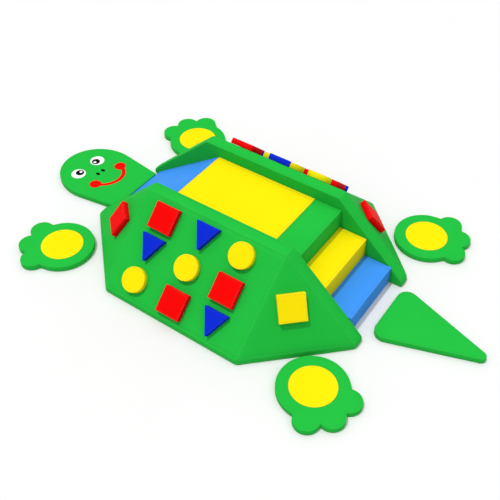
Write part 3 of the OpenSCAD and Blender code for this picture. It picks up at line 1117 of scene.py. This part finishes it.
@dataclass
class Modules:
    """The slide, the deck and the steps between the shells.

    Attributes:
        width: the width of all three.
        rise: the height of one step.
        tread: the depth of one tread.
        deck: the deck's two ends in x.
        toe: the height of the slide's low end.
        slide: the slide's two ends in x.
        steps_start: where the steps begin.
        low_zip: the height of the zip in the deck and the steps.
        slide_zip: the height of the zip in the slide.
    """

    width: float = 0.600
    rise: float = 0.165
    tread: float = 0.225
    deck: tuple[float, float] = (-0.475, 0.410)
    toe: float = 0.050
    slide: tuple[float, float] = (-1.128, -0.476)
    steps_start: float = 0.411
    low_zip: float = 0.080
    slide_zip: float = 0.140
    pocket: ZipPocket = ZipPocket(0.480)

    crown = 1.5 * MM
    tuck = 10.0 * MM
    draw_in = 0.3 * MM

    def box(self, x0: float, x1: float, top: float, side: float = 0.0, hidden: bool = False) -> list[Panel]:
        """Returns the panels of a plain block.

        Args:
            x0: its head end.
            x1: its tail end.
            top: its height.
            side: how far its sides are drawn in.
            hidden: whether its head end is inside another block and holds no seam.

        Returns:
            The panels: top, head end, tail end, far side, near side, underside.
        """
        y = self.width / 2 - side
        return [
            Panel((0, 0, 1), (0, 0, top), 3, self.crown),
            Panel((-1, 0, 0), (x0, 0, 0), 0 if hidden else 2),
            Panel((1, 0, 0), (x1, 0, 0), 2),
            Panel((0, 1, 0), (0, y, 0), 1),
            Panel((0, -1, 0), (0, -y, 0), 1),
            Panel((0, 0, -1), (0, 0, 0), 0),
        ]

    def zip_dents(self, x: float, z: float, sign: int) -> list[Dent]:
        """Returns the pocket for the zip on a block's end.

        Args:
            x: where that end is.
            z: the zip's height.
            sign: -1 for the end that faces the head, 1 for the one that faces the tail.

        Returns:
            The pocket's dents.
        """
        facing = float(sign)
        place = Place(np.array([x, 0.0, z]), np.array([0.0, facing, 0.0]), np.array([0.0, 0.0, 1.0]),
                      np.array([facing, 0.0, 0.0]))
        return self.pocket.dents(1 if sign < 0 else 2, place)

    def build_deck(self) -> None:
        """Builds the yellow deck."""
        dents = self.zip_dents(self.deck[0], self.low_zip, -1)
        block = Block(self.box(*self.deck, 3 * self.rise), dents=dents)
        self.make("platform", block, YELLOW, "platform", "platform_core", "platform_cover")

    def build_slide(self) -> None:
        """Builds the slide, a wedge that falls towards the head."""
        x0, x1 = self.slide
        top = 3 * self.rise
        panels = self.box(x0, x1, top)
        panels[0] = Panel((-(top - self.toe), 0, x1 - x0), (x1, 0, top), 3, self.crown)
        block = Block(panels, dents=self.zip_dents(x1, self.slide_zip, 1))
        self.make("slide", block, SKY, "slide", "slide_core", "slide_cover")

    def build_steps(self) -> None:
        """Builds the steps: one block to a tread, each tucked a little under the one above it."""
        for k, (name, vinyl) in enumerate({"green": GREEN, "yellow": YELLOW, "blue": SKY}.items()):
            first = k == 0
            x0 = self.steps_start + k * self.tread
            start = x0 if first else x0 - self.tuck
            panels = self.box(start, x0 + self.tread, (3 - k) * self.rise, k * self.draw_in, not first)
            dents = self.zip_dents(x0, self.low_zip, -1) if first else []
            nodes = [f"steps_cover_{name}"] + (["steps_core"] if first else [])
            self.make(f"steps_{name}", Block(panels, dents=dents), vinyl, "steps", *nodes)

    @staticmethod
    def make(name: str, block: Block, vinyl: Vinyl, body: str, *nodes: str) -> None:
        """Makes a block's vinyl and its stitching.

        Args:
            name: the start of the pieces' names.
            block: the block.
            vinyl: what its cover is made of.
            body: the body that carries it.
            *nodes: the nodes it stands for.
        """
        finish_pad(block.shape().build(f"{name}_foam_block", vinyl, body), *nodes)
        rows = Stitches()
        block.stitch(rows)
        rows.build(f"{name}_stitching", thread_for(vinyl), body)

    def build(self) -> None:
        """Builds all three."""
        self.build_deck()
        self.build_slide()
        self.build_steps()


class Kind(Enum):
    """The kinds of stick-on shape."""

    SQUARE = "square"
    DISC = "disc"
    TRIANGLE = "triangle"


VINYL_OF = {Kind.SQUARE: RED, Kind.DISC: YELLOW, Kind.TRIANGLE: BLUE}


@dataclass
class StickOn:
    """A stick-on shape: a small stiff foam pad with a layer of hooks under it.

    Attributes:
        side: the side of a square, and the width and height of a triangle.
        disc: the size of a disc.
        stand: how far a shape's face is from the shell.
        gap: the room under its cover for the hooks and the shell's loop patch.
        corner: the radius of its corners.
        rim: the radius of its rims.
        hook: the size of the hook layer.
        hook_foot: how far the hook layer's underside is from the shell.
    """

    side: float = 0.198
    disc: float = 0.190
    stand: float = 0.048
    gap: float = 2.0 * MM
    corner: float = 5.0 * MM
    rim: float = 2.8 * MM
    hook: float = 0.100
    hook_foot: float = 1.7 * MM

    def middle(self, kind: Kind) -> float:
        """Returns how far across its place the middle of a kind of shape is."""
        return self.side / 2 - self.side / (1.0 + math.sqrt(5.0)) if kind is Kind.TRIANGLE else 0.0

    def outline(self, kind: Kind) -> Outline:
        """Returns the outline of a kind of shape."""
        c = self.corner
        step = 6.0 * MM
        if kind is Kind.DISC:
            return disc(self.disc, step)
        if kind is Kind.SQUARE:
            h = self.side / 2 - c
            return belt([(h, -h, c), (h, h, c), (-h, h, c), (-h, -h, c)], step, (0.0, 0.0), bow=0.8 * MM)
        h, middle = self.side / 2, self.middle(kind)
        share = 1.0 - c / (h - middle)
        tips = [(x * share, middle + (y - middle) * share, c) for x, y in ((0.0, -h), (h, h), (-h, h))]
        return belt(tips, step, (0.0, middle), bow=0.8 * MM)

    def build(self, name: str, kind: Kind, vinyl: Vinyl, place: Place) -> None:
        """Builds one shape, its stitching and its hook layer.

        Args:
            name: the name of its node and its body.
            kind: which shape it is.
            vinyl: what its cover is made of.
            place: where it sits on the shell.
        """
        pad = Pad(self.outline(kind), self.stand - self.gap, self.rim, sink=0.9 * MM, seam=9.0 * MM,
                  settle=30.0 * MM, lift=self.gap)
        pad.make(name, vinyl, name, place, name)
        hooks = Shape()
        rings = [(0.0, 1.0, height, 0.0) for height in (self.hook_foot, self.gap + 0.1 * MM)]
        add_rings(hooks, disc(self.hook, 6.0 * MM, self.middle(kind)), rings, place)
        hooks.build(f"{name}_hook_layer", HOOK, name)


@dataclass
class Shells:
    """The two faceted shells with their shapes.

    Attributes:
        top: the height of a shell.
        flat: half the length of its flat top band.
        end: half its length over its blunt ends.
        side: half the length of its outer bottom edge.
        face: the distance of its inner face from the middle.
        band: the distance of the band's outer edge from the middle.
        foot: the distance of its outer bottom edge from the middle.
        border: the height of the upright border along its foot.
        pitch_along: the distance between two columns of shapes.
        pitch_up: the distance between two rows of shapes, up the facet.
        shift: how far the middle column is moved towards the head.
        middle_row: how far up the facet the middle row is.
        end_row: how far up an end facet its square is.
        zip_height: the height of the zip in the inner face.
    """

    top: float = 0.590
    flat: float = 0.600
    end: float = 1.190
    side: float = 0.590
    face: float = 0.301
    band: float = 0.396
    foot: float = 0.976
    border: float = 0.050
    pitch_along: float = 0.342
    pitch_up: float = 0.252
    shift: float = 0.020
    middle_row: float = 0.400
    end_row: float = 0.322
    zip_height: float = 0.100
    pocket: ZipPocket = ZipPocket(0.900)

    softness = 3.4 * MM
    blunt_softness = 6.0 * MM
    seam = 15.0 * MM
    unevenness = 0.6 * MM

    # row, column, place, kind, and how many millimetres it is off its place, towards the head and up
    GRID = (
        (1, -1, "top_front", Kind.SQUARE, -5, -4),
        (1, 0, "top_centre", Kind.TRIANGLE, -15, -2),
        (1, 1, "top_rear", Kind.DISC, 5, 5),
        (0, -1, "mid_front", Kind.TRIANGLE, 5, 4),
        (0, 0, "mid_centre", Kind.DISC, 7, 9),
        (0, 1, "mid_rear", Kind.SQUARE, 3, -2),
        (-1, -1, "low_front", Kind.DISC, 11, 9),
        (-1, 0, "low_centre", Kind.SQUARE, -9, -4),
        (-1, 1, "low_rear", Kind.TRIANGLE, -3, -2),
    )

    def end_place(self, e: int) -> Place:
        """Returns the frame on the far shell's end facet: e is -1 at the head and 1 at the tail."""
        low = np.array([e * self.end, self.band, self.border])
        far = np.array([e * self.side, self.foot, self.border])
        apex = np.array([e * self.flat, self.band, self.top])
        run = unit(far - low)
        foot = low + run * float(run @ (apex - low))
        out = e * unit(np.cross(run, apex - low))
        return Place(foot, e * run, np.cross(out, e * run), out)

    def facet_place(self) -> Place:
        """Returns the frame on the far shell's middle facet, at the middle of its bottom edge."""
        up = unit(np.array([0.0, self.band - self.foot, self.top - self.border]))
        along = np.array([-1.0, 0.0, 0.0])
        return Place(np.array([0.0, self.foot, self.border]), along, up, np.cross(along, up))

    def panels(self) -> list[Panel]:
        """Returns the far shell's panels."""
        found = [
            Panel((0, -1, 0), (0, self.face, 0), 1),
            Panel((0, 0, -1), (0, 0, 0), 0),
            Panel((0, 0, 1), (0, 0, self.top), 4),
            Panel((0, 1, 0), (0, self.foot, 0), 2),
            Panel(tuple(self.facet_place().out), (0, self.foot, self.border), 6),
        ]
        for e in (-1, 1):
            ground = (e * (self.foot - self.band), self.end - self.side, 0.0)
            found += [
                Panel((e, 0, 0), (e * self.end, 0, 0), 2),
                Panel(ground, (e * self.end, self.band, 0), 2),
                Panel((e * (self.top - self.border), 0, self.end - self.flat),
                      (e * self.flat, 0, self.top), 3),
                Panel(tuple(self.end_place(e).out), tuple(self.end_place(e).origin), 5),
            ]
        return found

    def block(self) -> Block:
        """Returns the far shell as a block, with the dents for its zip."""
        place = Place(np.array([0.0, self.face, self.zip_height]), np.array([1.0, 0.0, 0.0]),
                      np.array([0.0, 0.0, 1.0]), np.array([0.0, -1.0, 0.0]))
        return Block(self.panels(), softness=self.softness, end_softness=self.blunt_softness,
                     dents=self.pocket.dents(0, place), seam=self.seam, unevenness=self.unevenness)

    def shape_places(self, near: bool) -> list[tuple[str, Kind, Place]]:
        """Returns the name, the kind and the place of each shape on one shell, set out on the far one.

        Args:
            near: whether they are the near shell's shapes.

        Returns:
            The shapes, each with its own small offset, as if stuck on by hand.
        """
        facet = self.facet_place()
        found = [
            (name, kind, facet.moved(self.shift - column * self.pitch_along + on * MM,
                                     self.middle_row + row * self.pitch_up + up * MM))
            for row, column, name, kind, on, up in self.GRID
        ]
        ends = ((-1, "head_end", 22, -12), (1, "tail_end", 0 if near else -30, 0 if near else 10))
        for e, name, on, up in ends:
            found.append((name, Kind.SQUARE, self.end_place(e).moved(on * MM, self.end_row + up * MM)))
        return found

    def build(self) -> None:
        """Builds both shells, their stitching and their shapes."""
        block = self.block()
        far_shape = block.shape()
        far_rows = Stitches()
        block.stitch(far_rows)
        stick_on = StickOn()
        for side in ("near", "far"):
            near = side == "near"
            shape = mirrored(far_shape) if near else far_shape
            body = f"{side}_shell"
            finish_pad(shape.build(f"{body}_foam_block", GREEN, body), f"{body}_core", f"{body}_cover")
            rows = mirrored(far_rows.shape) if near else far_rows.shape
            rows.build(f"{body}_stitching", thread_for(GREEN), body)
            yellow_end = "tail_end" if near else "head_end"
            for name, kind, place in self.shape_places(near):
                vinyl = YELLOW if name == yellow_end else VINYL_OF[kind]
                where = place.mirrored() if near else place
                stick_on.build(f"{side}_{name}_{kind.value}", kind, vinyl, where)


@dataclass
class Head:
    """The head mat with its face sewn on.

    Points of the face are given as the distance up the head and the distance to one side.

    Attributes:
        thick: the mat's thickness.
        round_length: the length of the ellipse that rounds the head.
        width: its width.
        length: the whole length.
        neck: the width of the neck's end.
        turn: the head's turn on the floor, in degrees.
        neck_x: where the neck's end is.
        neck_reach: how far the neck runs on past that.
        eye: an eye's point and size.
        pupil_in: how far a pupil is in from its eye's middle.
        glint_in: how far a glint is in from its eye's middle.
        nostril: a nostril's point.
        nostril_size: its width and length.
        cheek: a cheek's point and size.
        smile_depth: how far the smile sags.
        lean: how far the face leans to one side, for each length up the head.
        tilt: how far one of its sides is ahead of the other.
        middle: the height on the head that the face leans about.
    """

    thick: float = 0.050
    round_length: float = 0.706
    width: float = 0.628
    length: float = 0.772
    neck: float = 0.518
    turn: float = 0.5
    neck_x: float = -1.140
    neck_reach: float = 0.004
    eye: tuple[float, float, float] = (0.538, 0.113, 0.124)
    pupil_in: float = 0.017
    pupil: float = 0.072
    glint_in: float = 0.029
    glint: float = 0.026
    nostril: tuple[float, float] = (0.402, 0.030)
    nostril_size: tuple[float, float] = (0.027, 0.042)
    cheek: tuple[float, float, float] = (0.323, 0.151, 0.098)
    smile_depth: float = 0.120
    smile_width: float = 0.033
    lean: float = 0.08
    tilt: float = 0.038
    middle: float = 0.409

    layer = 0.8 * MM
    neck_corner = 7.5 * MM

    def outline(self) -> Outline:
        """Returns the outline: most of an ellipse, run out to a neck with soft corners."""
        a, b = self.round_length / 2, self.width / 2
        centre = self.length - a
        corner = self.neck_corner
        qx, qy = -centre / a, (self.neck / 2) / b
        touch = math.atan2(qy, qx) - math.acos(1.0 / math.hypot(qx, qy))
        steps = 40
        circles = [(centre + a * math.cos(touch * i / steps), b * math.sin(touch * i / steps), 0.0)
                   for i in range(-steps, steps + 1)]
        slant = math.tan(math.radians(self.turn))
        for y in (self.neck / 2 - corner, corner - self.neck / 2):
            circles.append((corner - self.neck_reach + y * slant, y, corner))
        return belt(circles, MAT_SPACING, (centre * 0.92, 0.0))

    def place(self) -> Place:
        """Returns the frame at the middle of the neck's end, along the head."""
        return flat_place(self.neck_x, 0.0, 180.0 + self.turn)

    def on_face(self, x: float, y: float, level: int) -> Place:
        """Returns a place on the face, over so many layers of vinyl."""
        return self.place().moved(*self.face_at(x, y), self.thick + level * self.layer)

    def face_at(self, x: float, y: float) -> tuple[float, float]:
        """Returns where a point of the even face is on this one, which leans a little to one side."""
        return x + self.tilt * y, y + self.lean * (x - self.middle)

    def build(self) -> None:
        """Builds the mat and its face."""
        pad = Pad(self.outline(), self.thick, MAT_RIM)
        pad.make("head", GREEN, "head", self.place(), "head_core", "head_cover")
        self.build_eyes()
        self.build_smile()

    def build_eyes(self) -> None:
        """Builds the eyes with their pupils and glints, and the nostrils."""
        x, y, size = self.eye
        white, black = Shape(), Shape()
        edging = Stitches(*FACE_STITCH)
        for s in (-1, 1):
            eye, at = Patch(disc(size, 4.0 * MM)), self.on_face(x, s * y, 0)
            eye.add_to(white, at)
            eye.overcast(edging, at)
            Patch(disc(self.glint, 2.0 * MM)).add_to(white, self.on_face(x, s * (y - self.glint_in), 2))
            Patch(disc(self.pupil, 3.0 * MM)).add_to(black, self.on_face(x, s * (y - self.pupil_in), 1))
            self.add_nostril(black, s)
        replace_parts(white.build("head_eye_whites_and_glints", WHITE, "head"), "head_eyes")
        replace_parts(black.build("head_pupils_and_nostril_patches", BLACK, "head"), "head_pupils_and_nostrils")
        edging.build("head_eye_edging", thread_for(WHITE), "head")

    def add_nostril(self, shape: Shape, s: int) -> None:
        """Adds one nostril to a mesh, on the side that s gives."""
        wide, long = self.nostril_size
        r, half = wide / 2, (long - wide) / 2
        outline = belt([(half, 0.0, r), (-half, 0.0, r)], 1.5 * MM, (0.0, 0.0))
        Patch(outline).add_to(shape, self.on_face(self.nostril[0], s * self.nostril[1], 0))

    def build_smile(self) -> None:
        """Builds the cheeks and the curved mouth between them."""
        x, y, size = self.cheek
        radius = (y * y + self.smile_depth**2) / (2.0 * self.smile_depth)
        half = math.asin(y / radius)
        red = Shape()
        edging = Stitches(*FACE_STITCH)
        steps = 48
        half_profile = ((-0.5, -0.4), (-0.5, 0.5), (-0.47, 0.9), (-0.3, 1.15))
        across = (*half_profile, (0.0, 1.2), *((-off, height) for off, height in half_profile[::-1]))
        centre = np.array([x + radius - self.smile_depth, 0.0])
        points, faces = [], []
        for i in range(steps + 1):
            angle = math.pi - half + 2.0 * half * i / steps
            way = np.array([math.cos(angle), math.sin(angle)])
            for off, height in across:
                at = centre + way * (radius + off * self.smile_width)
                points.append([*self.face_at(*at), height * MM])
        n = len(across)
        for i in range(steps):
            for k in range(n):
                k2 = (k + 1) % n
                faces.append([i * n + k, i * n + k2, (i + 1) * n + k2, (i + 1) * n + k])
        faces += [list(range(n - 1, -1, -1)), [steps * n + k for k in range(n)]]
        red.add(self.place().moved(0.0, 0.0, self.thick).world(np.array(points)), faces, 0.1)
        for s in (-1, 1):
            cheek, at = Patch(disc(size, 3.0 * MM), proud=1.3 * MM), self.on_face(x, s * y, 0)
            cheek.add_to(red, at)
            cheek.overcast(edging, at)
        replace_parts(red.build("head_smile_and_cheeks", RED, "head"), "head_mouth")
        edging.build("head_cheek_edging", thread_for(RED), "head")


@dataclass
class Paw:
    """A paw mat: a round pad with three toes and a yellow patch.

    Attributes:
        name: its body.
        x: the middle of its round part in x.
        y: the middle of its round part in y.
        turn: the way its middle toe points, in degrees.
        thick: its thickness.
        round: the size of its round part.
        toe: the size of a toe.
        toe_reach: how far a toe's middle is from the paw's.
        toe_step: the angle from one toe to the next, in degrees.
        patch: the size of the patch.
        notch: how softly the notches between the toes turn.
    """

    name: str
    x: float
    y: float
    turn: float
    thick: float = 0.050
    round: float = 0.500
    toe: float = 0.186
    toe_reach: float = 0.250
    toe_step: float = 38.4
    patch: float = 0.328
    notch: float = 4.0 * MM

    def distance(self, points: np.ndarray) -> np.ndarray:
        """Returns how far points are outside the outline, with soft notches between the toes."""
        circles = [(0.0, 0.0, self.round / 2)]
        for i in (-1, 0, 1):
            a = math.radians(i * self.toe_step)
            circles.append((self.toe_reach * math.cos(a), self.toe_reach * math.sin(a), self.toe / 2))
        away = np.stack([np.hypot(points[:, 0] - x, points[:, 1] - y) - r for x, y, r in circles], 1)
        least = away.min(1, keepdims=True)
        return (least - self.notch * np.log(np.exp(-(away - least) / self.notch).sum(1, keepdims=True)))[:, 0]

    def outline(self) -> Outline:
        """Returns the outline, found along rays from the middle."""
        count = 300
        ways = rays(count)
        low, high = np.full(count, 0.1), np.full(count, 0.5)
        for _ in range(40):
            mid = (low + high) / 2
            inside = self.distance(ways * mid[:, None]) < 0.0
            low, high = np.where(inside, mid, low), np.where(inside, high, mid)
        points = ways * low[:, None]
        tiny = 0.2 * MM
        slope = np.stack([
            self.distance(points + np.array(d) * tiny) - self.distance(points - np.array(d) * tiny)
            for d in ((1.0, 0.0), (0.0, 1.0))
        ], 1)
        return Outline(points, units(slope), np.zeros(2))

    def build(self) -> None:
        """Builds the mat, its stitching and its patch."""
        place = flat_place(self.x, self.y, self.turn)
        pad = Pad(self.outline(), self.thick, MAT_RIM)
        pad.make(self.name, GREEN, self.name, place, f"{self.name}_core", f"{self.name}_cover")
        patch, shape = Patch(disc(self.patch, 6.0 * MM)), Shape()
        top = place.moved(0.0, 0.0, self.thick)
        patch.add_to(shape, top)
        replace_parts(shape.build(f"{self.name}_round_patch", YELLOW, self.name), f"{self.name}_patch")
        edging = Stitches(*PATCH_STITCH)
        patch.overcast(edging, top)
        edging.build(f"{self.name}_patch_edging", thread_for(GREEN), self.name)


@dataclass
class Tail:
    """The tail mat, a long rounded triangle.

    Attributes:
        x: where its root begins.
        y: how far its middle line is to the far side.
        thick: its thickness.
        length: its length.
        width: the width of its root.
        root: the radius of the root's corners.
        tip: the radius of its tip.
    """

    x: float = 1.213
    y: float = 0.015
    thick: float = 0.050
    length: float = 0.750
    width: float = 0.500
    root: float = 0.080
    tip: float = 0.037

    def build(self) -> None:
        """Builds the mat and its stitching."""
        half = self.width / 2 - self.root
        circles = [(self.root, -half, self.root), (self.length - self.tip, 0.0, self.tip),
                   (self.root, half, self.root)]
        outline = belt(circles, MAT_SPACING, (self.length * 0.30, 0.0))
        pad = Pad(outline, self.thick, MAT_RIM, settle=40.0 * MM)
        pad.make("tail", GREEN, "tail", flat_place(self.x, self.y, 0.0), "tail_core", "tail_cover")


PAWS = (
    Paw("near_front_paw", -1.175, -0.832, 212.0),
    Paw("far_front_paw", -1.146, 0.858, 149.0),
    Paw("near_rear_paw", 1.121, -0.850, -30.0),
    Paw("far_rear_paw", 1.117, 0.874, 28.0),
)


def dress_fastenings(nodes: dict[str, bpy.types.Object]) -> None:
    """Gives the frame's own zips and loop patches their finish."""
    for name, node in nodes.items():
        finish = ZIP if name.endswith("_zip") else LOOP if name.endswith("_loop_patches") else None
        if finish:
            node.data.materials.clear()
            node.data.materials.append(finish.material())
            log.info("%s: %s", name, finish.name)


# ---------------------------------------------------------------- the studio


@dataclass
class Studio:
    """A white floor under even white light, one soft sun, and the camera.

    Attributes:
        floor: the floor's size.
        zenith: the light from straight above.
        horizon: the light from all round.
        shine: the share of that light that shows in reflections.
        sun: the sun's strength.
        sun_from: the direction it comes from.
        sun_width: how wide it is in the sky, in degrees.
        target: the point that the camera looks at.
        azimuth: the camera's angle round the turtle from the near side towards the tail, in degrees.
        elevation: its angle over the floor, in degrees.
        distance: its distance from the target.
        lens: its focal length in millimetres.
    """

    floor: float = 60.0
    zenith: float = 1.20
    horizon: float = 0.30
    shine: float = 0.15
    sun: float = 1.5
    sun_from: tuple[float, float, float] = (-0.19, -0.24, 1.0)
    sun_width: float = 1.5
    target: tuple[float, float, float] = (0.0358, -0.0097, 0.0)
    azimuth: float = 34.76
    elevation: float = 44.86
    distance: float = 5.7886
    lens: float = 53.24

    def build_floor(self) -> None:
        """Lays the floor."""
        h = self.floor / 2
        mesh = bpy.data.meshes.new("floor")
        mesh.from_pydata([(-h, -h, 0), (h, -h, 0), (h, h, 0), (-h, h, 0)], [], [(0, 1, 2, 3)])
        made, s = fresh_material("white floor")
        where = s.add("ShaderNodeTexCoord").outputs["Object"]
        tone = s.mix(s.noise(where, 2.0), (0.73, 0.73, 0.73, 1.0), (0.75, 0.75, 0.75, 1.0))
        shader = s.add("ShaderNodeBsdfPrincipled", {"Base Color": tone, "Roughness": 0.9,
                                                    "Specular IOR Level": 0.05})
        s.add("ShaderNodeOutputMaterial", {"Surface": shader.outputs[0]})
        mesh.materials.append(made)
        floor = bpy.data.objects.new("floor", mesh)
        bpy.context.scene.collection.objects.link(floor)

    def build_light(self) -> None:
        """Sets the even light and the sun."""
        world = bpy.data.worlds.new("white room")
        world.use_nodes = True
        world.node_tree.nodes.clear()
        s = Sheet(world.node_tree)
        path = s.add("ShaderNodeLightPath").outputs
        way = s.add("ShaderNodeSeparateXYZ", {"Vector": s.add("ShaderNodeTexCoord").outputs["Generated"]})
        height = s.math("MAXIMUM", way.outputs["Z"], 0.0)
        light = s.plus(s.times(height, self.zenith - self.horizon), self.horizon)
        kept = s.math("SUBTRACT", 1.0, s.times(path["Is Glossy Ray"], 1.0 - self.shine))
        light = s.times(light, kept)
        light = s.math("MAXIMUM", light, path["Is Camera Ray"])
        light = s.add("ShaderNodeBackground", {"Color": (1.0, 1.0, 1.0, 1.0), "Strength": light})
        s.add("ShaderNodeOutputWorld", {"Surface": light.outputs[0]})
        bpy.context.scene.world = world
        lamp = bpy.data.lights.new("sun", "SUN")
        lamp.energy = self.sun
        lamp.angle = math.radians(self.sun_width)
        sun = bpy.data.objects.new("sun", lamp)
        sun.rotation_mode = "QUATERNION"
        sun.rotation_quaternion = Vector(self.sun_from).to_track_quat("Z", "Y")
        bpy.context.scene.collection.objects.link(sun)

    def build_camera(self) -> None:
        """Sets the camera."""
        a, e = math.radians(self.azimuth), math.radians(self.elevation)
        back = Vector((math.sin(a) * math.cos(e), -math.cos(a) * math.cos(e), math.sin(e)))
        lens = bpy.data.cameras.new("camera")
        lens.lens = self.lens
        lens.clip_end = 200.0
        camera = bpy.data.objects.new("camera", lens)
        camera.location = Vector(self.target) + back * self.distance
        camera.rotation_mode = "QUATERNION"
        camera.rotation_quaternion = (-back).to_track_quat("-Z", "Y")
        bpy.context.scene.collection.objects.link(camera)
        bpy.context.scene.camera = camera

    def build(self) -> None:
        """Builds the whole studio."""
        bpy.context.scene.view_settings.view_transform = "Standard"
        self.build_floor()
        self.build_light()
        self.build_camera()


def main() -> None:
    """Builds the turtle around the frame, part by part."""
    logging.basicConfig(level=logging.INFO, format="%(name)s: %(message)s")
    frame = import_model()
    Studio().build()
    Modules().build()
    Shells().build()
    Head().build()
    for paw in PAWS:
        paw.build()
    Tail().build()
    dress_fastenings(frame["nodes"])
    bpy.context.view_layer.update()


if __name__ == "__main__":
    main()
